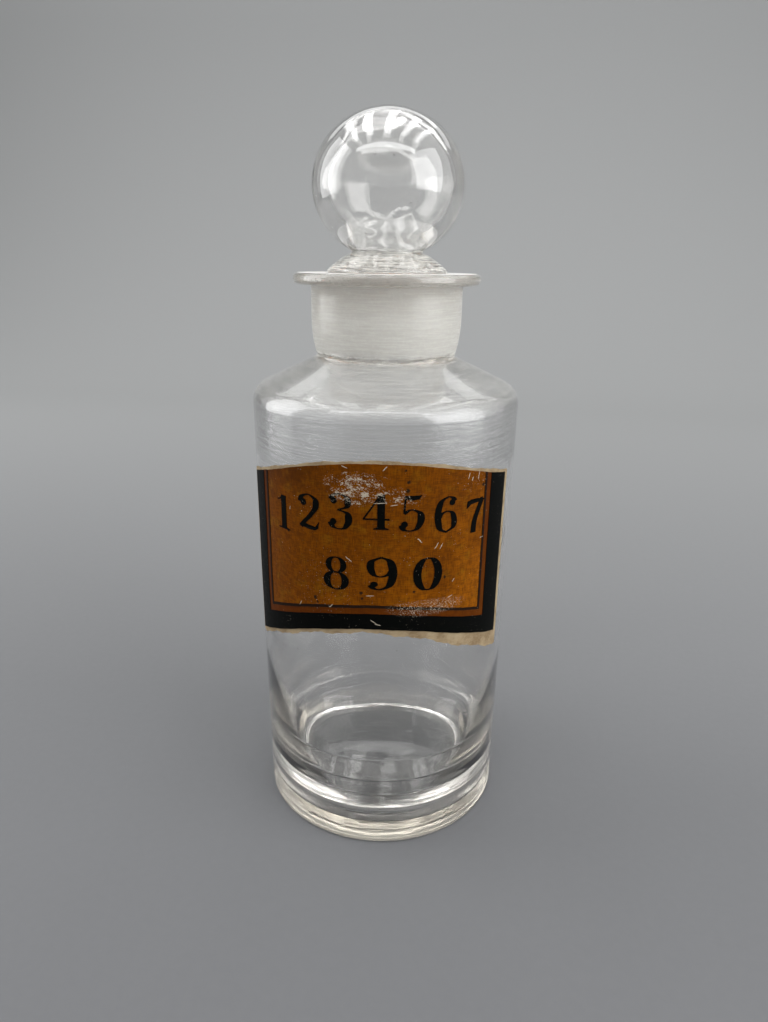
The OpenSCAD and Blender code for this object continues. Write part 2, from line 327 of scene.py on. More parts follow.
blow(bottle, bottle_still, size=26, depth=0.34)
print("bottle box", [round(v / MM, 2) for v in bottle.dimensions])

# %% [markdown]
# ## The stopper
#
# Ball, waist, cap and plug are one piece with a single sealed bubble inside. The outside and the
# bubble are turned as two closed skins. The bubble's faces point into the bubble, which is outwards
# as seen from the glass, and the two skins are joined into one piece.

# %% Outline of the stopper
waist_r, cap_h, waist_l = 12.1, 6.5, 0.4
plug_gap, plug_edge_r, cap_gap, cap_over, cap_bulge = 0.05, 1.2, 0.3, 0.35, 0.5
ball_wall, crown_t, bubble_waist_r = 4.8, 4.6, 8.5
plug_wall, plug_floor, bubble_knee, bubble_end_r = 4.2, 5, 2.2, 7
hip_deg, hip_run, waist_run = 40, 4, 3

waist_z = mouth_z + cap_h + waist_l
ball_cut = math.acos(waist_r / ball_r)
ball_half_h = (crown_z - waist_z) / (1 + math.sin(ball_cut))
ball_z = crown_z - ball_half_h


def oval(a, b, start, end, steps):
    """Points of an oval about the ball's middle, a wide and b high."""
    return [(a / b * r, ball_z + z) for r, z in arc(0, 0, b, start, end, steps)]


def bulged(p, q, b, steps=8):
    """Points from p to q along an arc that bulges by b away from the axis."""
    length = math.dist(p, q)
    side = ((q[1] - p[1]) / length, (p[0] - q[0]) / length)
    return [(p[0] + (q[0] - p[0]) * t + side[0] * 4 * b * t * (1 - t),
             p[1] + (q[1] - p[1]) * t + side[1] * 4 * b * t * (1 - t))
            for t in (i / steps for i in range(steps + 1))]


def stopper_outside():
    cap_z = mouth_z + cap_gap
    plug = bore_at(plug_low_z) - plug_gap - plug_edge_r
    foot = arc(plug, plug_low_z + plug_edge_r, plug_edge_r, -90, 0)
    neck_top = (bore_at(cap_z) - plug_gap, cap_z)
    cap = bulged((neck_top[0] + cap_over, cap_z + cap_over), (waist_r, mouth_z + cap_h), cap_bulge)
    flat = [(plug * i / 8, plug_low_z) for i in range(8)]
    ball = oval(ball_r - skin, ball_half_h - skin, -math.degrees(ball_cut), 90, 56)
    return flat + foot + line(foot[-1], neck_top, 2) + [neck_top] + cap + ball


def stopper_bubble():
    a, b = ball_r - ball_wall, ball_half_h - crown_t
    hollow = oval(a, b, 90, -hip_deg, 40)
    hip = hollow[-1]
    way = (-a * math.sin(math.radians(hip_deg)), -b * math.cos(math.radians(hip_deg)))
    run = hip_run / math.hypot(*way)
    waist = (bubble_waist_r, waist_z)
    low_z = plug_low_z + plug_floor
    low_r = bore_at(low_z) - plug_gap - plug_wall
    knee = (low_r, mouth_z - bubble_knee)
    end = arc(low_r - bubble_end_r, low_z + bubble_end_r, bubble_end_r, 0, -90, 12)
    flat = [(end[-1][0] * (1 - i / 6), low_z) for i in range(1, 7)]
    return hollow + curve(hip, (hip[0] + way[0] * run, hip[1] + way[1] * run),
                          (waist[0], waist_z + waist_run), waist)[1:] \
        + curve(waist, (waist[0], waist_z - waist_run), (knee[0], knee[1] + cap_h), knee)[1:] \
        + line(knee, end[0], 2) + end + flat


# %% Turn the stopper
stopper = turn("stopper_glass", stopper_outside())
bubble = turn("stopper_bubble", stopper_bubble(), inside=True)


def stopper_still(r, z):
    """Lets the ball wander, and holds the cap and the ground plug true."""
    return (z - mouth_z - cap_h - 1) / 8


blow(stopper, stopper_still, size=18, depth=0.3)
blow(bubble, lambda r, z: (z - mouth_z) / 6, size=14, depth=0.9)
pick(bubble, stopper)
bpy.ops.object.join()
print("stopper box", [round(v / MM, 2) for v in stopper.dimensions])

# %% [markdown]
# ## Seeds
#
# Glass melted in a pot keeps tiny bubbles, called seeds, and each is a bright dot. A seed is a
# small ball in the wall whose faces point into it, so that it is a hollow in the glass. The ball's
# thick glass shows many, and the bottle's side has fewer and finer ones.

# %% Blow the seeds
BALL_SEEDS = (
    (-4, 16, 0.3), (10, 15, 0.28), (-66, -9, 0.42), (-58, -34, 0.4), (24, -16, 0.26),
    (-42, 38, 0.22), (48, 30, 0.24), (14, -44, 0.24), (-16, -40, 0.34), (-28, 2, 0.2),
    (62, -22, 0.3), (150, 20, 0.3), (205, -5, 0.25), (118, -30, 0.28))
SIDE_SEEDS = (
    (-34, 76, 0.3), (-28, 67, 0.2), (12, 82, 0.25), (31, 72, 0.2), (5, 64, 0.17), (-12, 58, 0.22),
    (-41, 150, 0.25), (44, 152, 0.2), (38, 58, 0.2), (120, 90, 0.3), (165, 120, 0.25),
    (215, 60, 0.3), (250, 135, 0.2), (190, 30, 0.25))


def seeds(piece, places, radius_at):
    """Adds hollow seeds, each at degrees round from the front, a height or rise, and a radius."""
    balls = []
    for turn_deg, height, r in places:
        x, z = radius_at(height)
        a = math.radians(turn_deg)
        place = (x * math.sin(a) * MM, -x * math.cos(a) * MM, z * MM)
        deselect()
        bpy.ops.mesh.primitive_ico_sphere_add(subdivisions=2, radius=r * MM, location=place)
        settle()
        face_out(inside=True)
        bpy.ops.object.shade_smooth()
        balls.append(bpy.context.object)
    pick(*balls, piece)
    bpy.ops.object.join()
    print(piece.name, len(places), "seeds,", len(piece.data.polygons), "faces")


def in_ball(rise):
    """The middle of the ball's glass at a rise in degrees."""
    mid = ball_r - ball_wall / 2
    return mid * math.cos(math.radians(rise)), ball_z + mid * math.sin(math.radians(rise))


seeds(stopper, BALL_SEEDS, in_ball)
seeds(bottle, SIDE_SEEDS, lambda z: (outer_at(z) - wall / 2, z))

# %% [markdown]
# ## Shader maths as Python
#
# A finish is a small tree of nodes. The two classes below let the tree be written as formulas: an
# expression on values adds its Math nodes, and any other node comes from one method, which sets the
# node's own settings first and its sockets after.


# %% Classes for finishes
class Wire:
    """A socket with arithmetic."""

    def __init__(self, finish, socket):
        self.finish, self.socket = finish, socket

    def math(self, operation, *others):
        values = dict(enumerate((self,) + others))
        return self.finish.node("Math", {"operation": operation}, values)

    def __add__(self, other):
        return self.math("ADD", other)

    def __sub__(self, other):
        return self.math("SUBTRACT", other)

    def __rsub__(self, other):
        return self.finish.node("Math", {"operation": "SUBTRACT"}, {0: other, 1: self})

    def __mul__(self, other):
        return self.math("MULTIPLY", other)

    def __truediv__(self, other):
        return self.math("DIVIDE", other)

    __radd__, __rmul__ = __add__, __mul__

    def over(self, low, high):
        """0 below low, 1 above high and smooth between; the other way round where low is higher."""
        return self.finish.node("MapRange", {"interpolation_type": "SMOOTHSTEP"},
                                {"Value": self, "From Min": low, "From Max": high})


class Finish:
    """A material and its nodes."""

    def __init__(self, name):
        self.material = bpy.data.materials.new(name)
        self.material.use_nodes = True
        self.tree = self.material.node_tree
        self.tree.nodes.clear()
        self.output = self.tree.nodes.new("ShaderNodeOutputMaterial")

    def node(self, kind, settings=None, sockets=None, out=0):
        """Adds a node, sets it and feeds its sockets, and gives one of its outputs."""
        node = self.tree.nodes.new("ShaderNode" + kind)
        for key, value in (settings or {}).items():
            setattr(node, key, value)
        for key, value in (sockets or {}).items():
            self.feed(node.inputs[key], value)
        return Wire(self, node.outputs[out])

    def feed(self, socket, value):
        """Links a wire to a socket, or sets a constant on it."""
        if isinstance(value, Wire):
            self.tree.links.new(value.socket, socket)
        else:
            socket.default_value = value

    def blend(self, share, a, b):
        """Colour a where share is 0 and b where it is 1."""
        return self.node("Mix", {"data_type": "RGBA"}, {0: share, 6: a, 7: b}, out=2)

    def place(self):
        """The point on the piece, as x, y and z in millimetres."""
        point = self.node("TexCoord", out=3)
        split = self.node("SeparateXYZ", sockets={0: point}).socket.node
        return [Wire(self, split.outputs[i]) * 1000 for i in range(3)]

    def noise(self, place, scale, detail, rough):
        """A cloud pattern, at a place of three values."""
        point = self.node("CombineXYZ", sockets=dict(enumerate(place)))
        sockets = {"Vector": point, "Scale": scale, "Detail": detail, "Roughness": rough}
        return self.node("TexNoise", sockets=sockets)

    def shine(self, **sockets):
        """Ends the finish in one Principled shader. Words in a socket's name are joined by _."""
        named = {key.replace("_", " "): value for key, value in sockets.items()}
        return self.show(self.node("BsdfPrincipled", sockets=named))

    def layer(self, share, under, upper):
        """Ends the finish in two shaders: the upper one shows as far as share says."""
        return self.show(self.node("MixShader", sockets={0: share, 1: under, 2: upper}))

    def show(self, shader):
        self.feed(self.output.inputs["Surface"], shader)
        return shader

    def bump(self, height, depth, strength):
        """A Normal from a height between 0 and 1, which stands depth millimetres high."""
        sockets = {"Height": height, "Distance": depth * MM, "Strength": strength}
        return self.node("Bump", sockets=sockets)

    def absorb(self, colour, density):
        """A tint that deepens with the way through the glass."""
        body = self.node("VolumeAbsorption", sockets={"Color": colour, "Density": density})
        self.feed(self.output.inputs["Volume"], body)

    def done(self):
        """Gives the material, now that its tree is whole."""
        print(self.material.name, len(self.tree.nodes), "nodes")
        return self.material


# %% [markdown]
# ## Clear glass
#
# Old bottle glass is clear with a straw tint that only shows through its thickness, so the colour
# goes into a Volume Absorption and not on the surface. Above the label the glass was drawn out by a
# turning tool, which left fine level lines, so a bump that changes fast with height and slowly
# round the bottle streaks the reflections there. Lead in the glass makes it shine more than plain
# glass, so it has a coat, but not on the neck, which handling has made dull. Dust is a second
# shader, laid over the glass as far as a mask says: thin on the slope, thicker in the corners. On
# the stopper's cap the same white layer is mostly painted light, for the frosted plug's light seen
# through the cap, and only a little dust.

# %% Clear glass
GLASS_IOR, GLASS_ROUGHNESS = 1.55, 0.004
STRAW, STRAW_DENSITY = (0.985, 0.92, 0.77, 1), 11
COAT, COAT_ROUGHNESS = 0.8, 0.03
DUST_AND_PAINTED_LIGHT, NO_GLOSS = (0.93, 0.92, 0.86, 1), 0.9
relief_depth, relief_strength = 0.5, 0.2


def clear_glass(name, drawn, dust_and_painted_light_mask, wavy, dull):
    """Clear blown glass. drawn, the dust mask, wavy and dull give masks from the radius and the
    height; the dust mask is dust, and on the stopper's cap mostly painted light.
    """
    finish = Finish(name)
    x, y, z = finish.place()
    r = (x * x + y * y).math("SQRT")
    drag = finish.noise((x * 0.025, y * 0.025, z - r), 1, 4, 0.7)
    cords = finish.noise((x * 0.02, y * 0.02, z * 0.22), 1, 2, 0.55)
    pits = finish.noise((x, y, z), 0.9, 3, 0.7)
    film = finish.noise((x * 0.06, y * 0.06, z * 0.1), 1, 4, 0.6)
    sweep = finish.noise((x * 0.08, y * 0.08, (z - r) * 1.6), 1, 4, 0.75)
    drawn, dust_and_painted_light_mask, wavy, dull = (mask(r, z) for mask in (drawn, dust_and_painted_light_mask, wavy, dull))
    relief = cords * wavy * 0.9 + pits * 0.02 + drag * drawn
    haze = film.over(0.55, 0.8) * 0.02 + drawn * 0.015 + dull * 0.1
    glass = finish.shine(Base_Color=(1, 1, 1, 1), Roughness=haze + GLASS_ROUGHNESS, IOR=GLASS_IOR,
                         Transmission_Weight=1, Coat_Weight=COAT - dull * COAT,
                         Coat_IOR=GLASS_IOR, Coat_Roughness=COAT_ROUGHNESS,
                         Normal=finish.bump(relief, relief_depth, relief_strength))
    # A white layer: dust, and on the stopper's cap mostly painted light for the frosted plug seen
    # through.
    dust_and_painted_light = finish.shine(Base_Color=DUST_AND_PAINTED_LIGHT, Roughness=NO_GLOSS)
    grain = sweep.over(0.42, 0.68) * 0.7 + pits.over(0.45, 0.7) * 0.3
    finish.layer(dust_and_painted_light_mask * (0.1 + grain * 1.5) + dull * 0.3, glass, dust_and_painted_light)
    finish.absorb(STRAW, STRAW_DENSITY)
    return finish.done()


neck_low = mouth_z - 27


def bottle_drawn(r, z):
    """Strongest where the shoulder turns into the side, weaker on the neck, and none below."""
    turned = z.over(side_z - 22, side_z - 8) * z.over(side_z + 8, side_z + 2)
    return turned * 2.2 + z.over(side_z + 2, side_z + 8) * 0.8


def bottle_wavy(r, z):
    """Cords are faint in the heel and strong where the shoulder was drawn in."""
    return z.over(60, 110) * 0.85 + z.over(side_z - 6, side_z + 1) * 1.6 + 0.15


def bottle_dull(r, z):
    """The neck's outside."""
    return z.over(neck_low, neck_low + 2) * z.over(lip_z + 0.3, lip_z - 0.3) * r.over(22, 23)


def bottle_dusty(r, z):
    """Dust on the shoulder and in the crease at the neck's root, and fine wear on neck and lip."""
    shoulder = z.over(side_z + 1, side_z + 5) * z.over(neck_low + 3, neck_low - 1)
    crease = (z - neck_low).math("ABSOLUTE").over(2, 0.4) * r.over(28.5, 26.5)
    lip = z.over(lip_z - 0.3, lip_z + 0.6) * r.over(neck_r, neck_r + 2)
    return shoulder * 0.2 + crease * 0.2 + lip * 0.22 + bottle_dull(r, z) * 0.06


def stopper_dust_and_painted_light(r, z):
    """Whitening on the domed cap and round the waist, mostly painted light for the frosted plug's
    light seen through the cap and partly dust, and next to none on the ball.
    """
    cap = z.over(mouth_z - 1, mouth_z + 1) * z.over(waist_z + 2.5, waist_z - 1)
    # Painted light: the cap's strong white share stands in for the frosted plug's light and inner
    # reflections seen through the cap.
    return cap * 0.65 + 0.02


bottle_clear = clear_glass("clear_bottle_glass", bottle_drawn, bottle_dusty,
                           bottle_wavy, bottle_dull)
stopper_clear = clear_glass("clear_stopper_glass", lambda r, z: 0.1, stopper_dust_and_painted_light,
                            lambda r, z: 1, lambda r, z: 0)

# %% [markdown]
# ## Ground glass
#
# The bore and the plug are ground together with wet grit until they fit without a leak. The grit
# leaves fine rings round both, and each surface scatters the light, so the neck looks frosted. The
# powdery bore scatters most of the light back, so it is mostly a dull white and only a little
# clear. The plug is handled and wiped, so it lets more light through and its rings show.


# %% Ground glass
POWDER = (0.99, 0.99, 0.98, 1)


def ground_glass(name, clear, deep):
    """Ground glass. clear is the share that lets light through, deep the tone of its rings."""
    finish = Finish(name)
    x, y, z = finish.place()
    rings = finish.noise((x * 0.02, y * 0.02, z * 2.6), 1, 4, 0.75)
    cloud = finish.noise((x * 0.08, y * 0.08, z * 0.16), 1, 3, 0.55)
    shade = cloud.over(0.3, 0.75) * 0.4 + rings.over(0.3, 0.6) * 0.6
    finish.shine(Base_Color=finish.blend(shade, deep, POWDER),
                 Roughness=0.5 + rings * 0.2, IOR=GLASS_IOR, Transmission_Weight=clear,
                 Normal=finish.bump(rings, 0.05, 0.5))
    finish.absorb(STRAW, STRAW_DENSITY)
    return finish.done()


bottle_ground = ground_glass("ground_bore", 0.12, (0.95, 0.95, 0.92, 1))
stopper_ground = ground_glass("ground_plug", 0.45, (0.70, 0.70, 0.67, 1))


# %% Put the glass on its faces
def dress(piece, base, other, chosen):
    """Gives a piece its base finish, and the faces that chosen picks its other one."""
    piece.data.materials.clear()
    piece.data.materials.append(base)
    piece.data.materials.append(other)
    for face in piece.data.polygons:
        r = math.hypot(face.center.x, face.center.y) / MM
        face.material_index = int(chosen(r, face.center.z / MM))
    count = sum(face.material_index for face in piece.data.polygons)
    print(piece.name, count, "faces of", other.name)


def in_bore(r, z):
    """The bore's taper and the flat top of the lip, which are ground on the same wheel."""
    on_top = z > mouth_z - 0.05 and r < lip_r - lip_edge_r
    return on_top or throat_z < z < mouth_z and abs(r - bore_at(z)) < mouth_edge_r


def on_plug(r, z):
    """The plug's taper, from its foot to the cap."""
    return plug_low_z + plug_edge_r < z < mouth_z + cap_gap and abs(r - bore_at(z)) < 0.4


dress(bottle, bottle_clear, bottle_ground, in_bore)
dress(stopper, stopper_clear, stopper_ground, on_plug)
for piece, node, slot in ((bottle, "bottle", "bottle_glass"),
                          (stopper, "stopper", "stopper_glass")):
    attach(piece, node)
    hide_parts(node)

# %% [markdown]
# ## The label
#
# The label is a stack of skins: paper, gilding, a black border and a thin rule. Each is drawn flat,
# as it was cut, then bent round the bottle, laid on the glass by a Shrinkwrap modifier and given
# its thickness. A flat skin is a grid whose columns are stretched, one by one, between a lower and
# an upper edge. The edges are arches as seen from the front, so on the flat sheet they are a little
# wider than a circle.

# %% Sizes of the label
label_w, label_z, label_h, crown_x = 106, 90.6, 56.8, 3
top_arch_r, foot_arch_r, window_arch_r = 98, 73, 84
border_foot_h, border_side_w, rule_gap, rule_w = 5.6, 9, 2.2, 1
side_margin, top_margin, foot_margin, tear_h = 2.6, 1.2, 1.6, 4.5
label_r = outer_at(label_z + label_h / 2)
label_top = label_z + label_h


def arch(u, crown, r):
    """Height of an arched edge at the distance u round the bottle from the label's middle."""
    x = label_r * math.sin(u / label_r) - crown_x
    return crown - r + math.sqrt(r * r - x * x)


def ripple(u, seed, depth):
    """A hand's slight unsteadiness along an edge."""
    return depth * (math.sin(u * 0.31 + seed) + 0.6 * math.sin(u * 0.83 + 2 * seed)
                    + 0.4 * math.sin(u * 2.1 + 3 * seed))


# %% Helpers for skins
def flat_skin(name, left, right, low, high, step, rows):
    """Draws a flat skin from left to right, column by column, between its lower and upper edge."""
    count = max(2, round((right - left) / step))
    places = [left + (right - left) * i / count for i in range(count + 1)]
    heights = [high(u) - low(u) for u in places]
    middles = [(high(u) + low(u)) / 2 for u in places]
    deselect()
    bpy.ops.mesh.primitive_grid_add(x_subdivisions=1, y_subdivisions=rows, size=MM,
                                    rotation=(math.pi / 2, 0, 0))
    piece = bpy.context.object
    piece.name = piece.data.name = name
    piece.scale = (places[1] - left, heights[0], 1)
    piece.location = ((left + places[1]) / 2 * MM, 0, middles[0] * MM)
    settle()
    select_parts(piece, "VERT", lambda point: point.co.x > (left + places[1]) / 2 * MM)
    bpy.ops.transform.translate(value=(0, 0, (middles[1] - middles[0]) * MM))
    bpy.ops.transform.resize(value=(1, 1, heights[1] / heights[0]))
    for i in range(2, count + 1):
        move = (places[i] - places[i - 1], 0, middles[i] - middles[i - 1])
        bpy.ops.mesh.extrude_region_move(TRANSFORM_OT_translate={"value": [m * MM for m in move]})
        bpy.ops.transform.resize(value=(1, 1, heights[i] / heights[i - 1]))
    mode("OBJECT")
    return piece


def weld(name, *pieces):
    """Joins flat skins and merges the edges that they share."""
    pick(*pieces)
    bpy.ops.object.join()
    piece = bpy.context.object
    piece.name = piece.data.name = name
    edit_all()
    bpy.ops.mesh.remove_doubles(threshold=0.02 * MM)
    mode("OBJECT")
    return piece


def paste(piece, lift, thick):
    """Bends a flat skin round the bottle, lays it lift off the glass and gives it its thickness."""
    keep(piece, "SIMPLE_DEFORM", deform_method="BEND", deform_axis="Z",
         angle=piece.dimensions.x / (label_r * MM))
    piece.location.y = -label_r * MM
    settle()
    keep(piece, "SHRINKWRAP", target=bottle, wrap_method="NEAREST_SURFACEPOINT",
         wrap_mode="OUTSIDE_SURFACE", offset=(lift + thick / 2) * MM)
    keep(piece, "SOLIDIFY", thickness=thick * MM, offset=0)
    face_out()
    bpy.ops.object.shade_smooth_by_angle(angle=math.radians(40))
    print(piece.name, len(piece.data.polygons), "faces")


# %% Paper, gilding, border and rule
half_w = label_w / 2
paste_t, paper_t, paint_t, layer_gap = 0.05, 0.2, 0.1, 0.05
gild_t = paste_t + paper_t + layer_gap
coat_t = gild_t + paint_t + layer_gap


def torn_edge(u):
    """The paper's lower edge: torn, and hanging low at the right."""
    right = min(1, max(0, math.sin(u / label_r)))
    return arch(u, label_z, foot_arch_r) - foot_margin - tear_h * right * right * (3 - 2 * right) \
        + ripple(u, 1.7, 0.35)


def frayed_edge(u):
    """The paper's upper edge."""
    return arch(u, label_top + top_margin, top_arch_r + top_margin) + ripple(u, 0.4, 0.16) - 0.3


def foot_line(u):
    """The lower edge of the print."""
    return arch(u, label_z, foot_arch_r) + ripple(u, 2.2, 0.08)


def top_line(u):
    """The upper edge of the print."""
    return arch(u, label_top, top_arch_r) + ripple(u, 3.1, 0.06)


def window_line(inset):
    """The upper edge of the border's foot, or a line that runs above it at an inset."""
    crown, r = label_z + border_foot_h + inset, window_arch_r + inset
    return lambda u: arch(u, crown, r) + ripple(u, 0.9, 0.05)


paper_w = half_w + side_margin
paper = flat_skin("paper_sheet", -paper_w, paper_w, torn_edge, frayed_edge, 0.7, 24)
gilding = flat_skin("gilt_face", -half_w, half_w, foot_line, top_line, 1, 24)
inner_w = half_w - border_side_w
sill_line = window_line(0)
border = weld("black_border",
              flat_skin("border_left", -half_w, -inner_w, sill_line, top_line, 1, 30),
              flat_skin("border_right", inner_w, half_w, sill_line, top_line, 1, 30),
              flat_skin("border_foot", -half_w, half_w, foot_line, sill_line, 1, 6))
rule_u = inner_w - rule_gap
rule_low, rule_high = window_line(rule_gap), window_line(rule_gap + rule_w)
rule = weld("thin_rule",
            flat_skin("rule_left", -rule_u, rule_w - rule_u, rule_low, top_line, 0.5, 40),
            flat_skin("rule_right", rule_u - rule_w, rule_u, rule_low, top_line, 0.5, 40),
            flat_skin("rule_foot", rule_w - rule_u, rule_u - rule_w, rule_low, rule_high, 1, 2))
paste(paper, paste_t, paper_t)
for skin_piece, lift in ((gilding, gild_t), (border, coat_t), (rule, coat_t)):
    paste(skin_piece, lift, paint_t)


# %% [markdown]
# ## Two lines of numerals
#
# The words on such a label are painted with a flat brush, thick where it goes down and thin where
# it goes across. Plain numerals stand here. A stroke is a smooth path whose breadth at each point
# follows from the way it runs there. Each is a flat curve, filled and made a mesh, and the strokes
# are then pasted on like the other skins.


# %% Brush strokes
HAIR, STEM, PATH_STEPS = 3.2, 20, 9


def smooth_path(points):
    """A smooth path through the points."""
    path = []
    ends = [points[0]] + list(points) + [points[-1]]
    for p0, p1, p2, p3 in zip(ends, ends[1:], ends[2:], ends[3:]):
        for i in range(PATH_STEPS):
            t = i / PATH_STEPS
            path.append(tuple(0.5 * (2 * b + (c - a) * t + (2 * a - 5 * b + 4 * c - d) * t * t
                                     + (3 * b - a - 3 * c + d) * t ** 3)
                              for a, b, c, d in zip(p0, p1, p2, p3)))
    return path + [tuple(points[-1])]


def brushed(points, thick):
    """The outline of a stroke: thick where the path goes down, thin where it goes across."""
    path = smooth_path(points)
    left, right = [], []
    for i, (x, y) in enumerate(path):
        x0, y0 = path[max(0, i - 1)]
        x1, y1 = path[min(len(path) - 1, i + 1)]
        length = math.hypot(x1 - x0, y1 - y0) or 1
        way = ((x1 - x0) / length, (y1 - y0) / length)
        half = (HAIR + (thick - HAIR) * abs(way[1]) ** 2.2) / 2
        left.append((x - way[1] * half, y + way[0] * half))
        right.append((x + way[1] * half, y - way[0] * half))
    return left + right[::-1]


def read(path):
    """Points from text, each written as x,y."""
    return [tuple(float(n) for n in point.split(",")) for point in path.split()]


def stroke(path, thick=STEM):
    """A brushed stroke along a written path."""
    return brushed(read(path), thick)


def wedge(path, breadths):
    """The outline of a straight-edged stroke with its own breadth, up and down, at each point."""
    points = read(path)
    return [(x, y + b / 2) for (x, y), b in zip(points, breadths)] \
        + [(x, y - b / 2) for (x, y), b in zip(points[::-1], breadths[::-1])]


def dot(x, y, r):
    """The outline of a round end."""
    return arc(x, y, r, 0, 345, 23)


def foot_serif(x, half):
    """A thin bar with a small bracket that grows into a stem."""
    return [(x - half, 0), (x + half, 0), (x + half, 3), (x + 12, 5), (x + 9, 12), (x - 9, 12),
            (x - 12, 5), (x - half, 3)]


def ring(x, y, rx, ry, thick):
    """An oval drawn in two strokes that meet in hairlines at its top and its foot."""
    right = [(x + rx * math.sin(t), y + ry * math.cos(t))
             for t in (math.pi * i / 8 for i in range(9))]
    return [brushed(right, thick), brushed([(2 * x - px, py) for px, py in right], thick)]


# %% The numerals, drawn in a box 100 units high
NUMERALS = {
    "1": [stroke("36,0 36,50 36,100"), foot_serif(36, 24), stroke("30,97 22,89 10,85", 7)],
    "2": [dot(17, 76, 9.5), stroke("8,76 13,92 34,100 55,88 56,66 40,42 20,20 7,4", 19),
          wedge("5,5 20,9 36,6 54,4 64,14 67,27", [3, 12, 13, 10, 16, 1])],
    "3": [dot(16, 80, 9), stroke("8,82 16,95 33,100 53,90 52,66 27,55", 18),
          stroke("27,55 52,47 57,25 46,5 30,0 14,5 6,19", 20), dot(14, 20, 9)],
    "4": [stroke("48,0 48,50 48,100"), foot_serif(48, 20), stroke("46,99 25,65 2,30", 5),
          wedge("0,29 35,29 70,29", [4, 4.5, 5])],
    "5": [wedge("15,95 34,93 52,94 60,100", [10, 13, 11, 1]), stroke("16,98 14.5,75 13,50", 5),
          stroke("13,50 32,60 54,50 58,28 47,6 30,0 14,4 6,18", 20), dot(14, 19, 9)],
    "6": [dot(52, 84, 8.5), stroke("60,86 52,97 38,100 18,86 10,50 17,13 36,0", 19),
          stroke("36,0 56,12 60,32 53,53 38,60 22,54 13,42", 17)],
    "7": [wedge("5,76 7,86 20,93 40,94 55,93 66,100", [1, 20, 14, 12, 10, 1]),
          stroke("63,98 50,70 36,35 33,0", 19)],
    "8": ring(34, 76.5, 18, 23.5, 14) + ring(34, 27, 22, 27, 17),
    "9": [dot(18, 16, 8.5), stroke("10,14 18,3 32,0 52,14 60,50 53,87 34,100", 19),
          stroke("34,100 14,88 10,68 17,47 32,40 48,46 57,58", 17)],
    "0": ring(36, 50, 25, 50, 19),
}


# %% Paint the two lines
def painted(outline, left, foot, wide, high):
    """One filled stroke as a flat mesh, with its box's left foot and its size in millimetres."""
    shape = bpy.data.curves.new("stroke", "CURVE")
    shape.dimensions, shape.fill_mode = "2D", "BOTH"
    spline = shape.splines.new("POLY")
    spline.points.add(len(outline) - 1)
    for point, (x, y) in zip(spline.points, outline):
        point.co = (x / 100 * wide * MM, y / 100 * high * MM, 0, 1)
    spline.use_cyclic_u = True
    piece = bpy.data.objects.new("stroke", shape)
    bpy.context.scene.collection.objects.link(piece)
    pick(piece)
    bpy.ops.object.convert(target="MESH")
    piece = bpy.context.object
    piece.rotation_euler.x = math.pi / 2
    piece.location = (left * MM, 0, foot * MM)
    settle()
    return piece


def written(signs, first, pitch, wide, high, arch_x, arch_z, arch_r):
    """A line of numerals whose feet stand on an arch, as seen from the front."""
    strokes = []
    for i, sign in enumerate(signs):
        middle = first + pitch * i
        x = label_r * math.sin(middle / label_r) - arch_x
        foot = arch_z + math.sqrt(arch_r * arch_r - x * x)
        strokes += [painted(o, middle - 0.35 * wide, foot, wide, high) for o in NUMERALS[sign]]
    return strokes


numerals = weld("painted_numerals", *written("1234567", -31.6, 11.35, 11.9, 11.7, 3, 21.1, 105),
                *written("890", -10.6, 15, 14.5, 11.3, 5, 0.3, 105))
paste(numerals, coat_t + 0.02, paint_t)


# %% [markdown]
# ## Wear, and a painted highlight, that all the skins share
#
# Scratches and flecks cross the gilding, the paint and the rule alike, so one function gives them
# to every finish of the label, together with a painted highlight: white streaks at the upper right
# that stand in for a glint on the lacquer. Its map is the sheet itself: u runs round the bottle
# from the label's middle and v is the height, both in millimetres.


# %% A map of the wear
def on_label(finish):
    """The distance round the bottle from the label's middle, and the height."""
    x, y, z = finish.place()
    return x.math("ARCTAN2", y * -1) * label_r, z


def patch(u, v, place, reach):
    """1 in the middle of an oval patch, and 0 outside it."""
    du, dv = (u - place[0]) / reach[0], (v - place[1]) / reach[1]
    return (du * du + dv * dv).over(1, 0.15)


def scratch(u, v, place, angle, length):
    """1 on a short straight scratch."""
    c, s = math.cos(math.radians(angle)), math.sin(math.radians(angle))
    along = ((u - place[0]) * c + (v - place[1]) * s).math("ABSOLUTE") * 2 / length
    across = ((v - place[1]) * c - (u - place[0]) * s).math("ABSOLUTE") / SCRATCH_BREADTH
    return along.over(1, 0.6) * (across + along * 0.4).over(1.3, 0.8)


SCRATCH_BREADTH = 0.13
# Most rows are real scratches; the three near-upright ones at about u 33 to 38 and v 140 to 142 are
# the streaks of a painted highlight.
SCRATCHES = (
    (5, 146, 50, 2.2), (22.2, 119.6, 60, 2.8), (23.9, 119.2, 62, 2.6), (-6.4, 115.2, -38, 3.2),
    (16.4, 122, -48, 2.6), (0.6, 102.8, 4, 3), (-7.6, 146, -20, 2.4), (1.8, 93.4, -35, 2.8),
    (3.2, 92.4, -12, 2.4), (3.6, 134.9, 4, 4.6), (8, 134.2, 8, 2.6), (33.4, 141.6, 75, 2.4),
    (37.6, 141.2, 80, 3.6), (34.9, 140.4, 70, 1.8), (-25, 95.6, 65, 2.2), (-12.6, 97.6, 45, 2),
    (28, 100.4, 20, 2.2), (40.6, 119, 12, 1.8), (29, 106.2, 55, 1.6), (-28.4, 129.2, 80, 1.5))
SPOTS = (
    (12.4, 141.6, 0.75), (12.2, 138.9, 0.85), (11.4, 145.4, 0.5), (40, 137.6, 0.8),
    (-18.6, 99.4, 0.9), (-17.8, 98, 0.6), (-2.3, 103.6, 0.75), (-2, 101.6, 0.55), (25.6, 108, 0.7),
    (-29.6, 121, 0.7), (15, 104, 0.6))


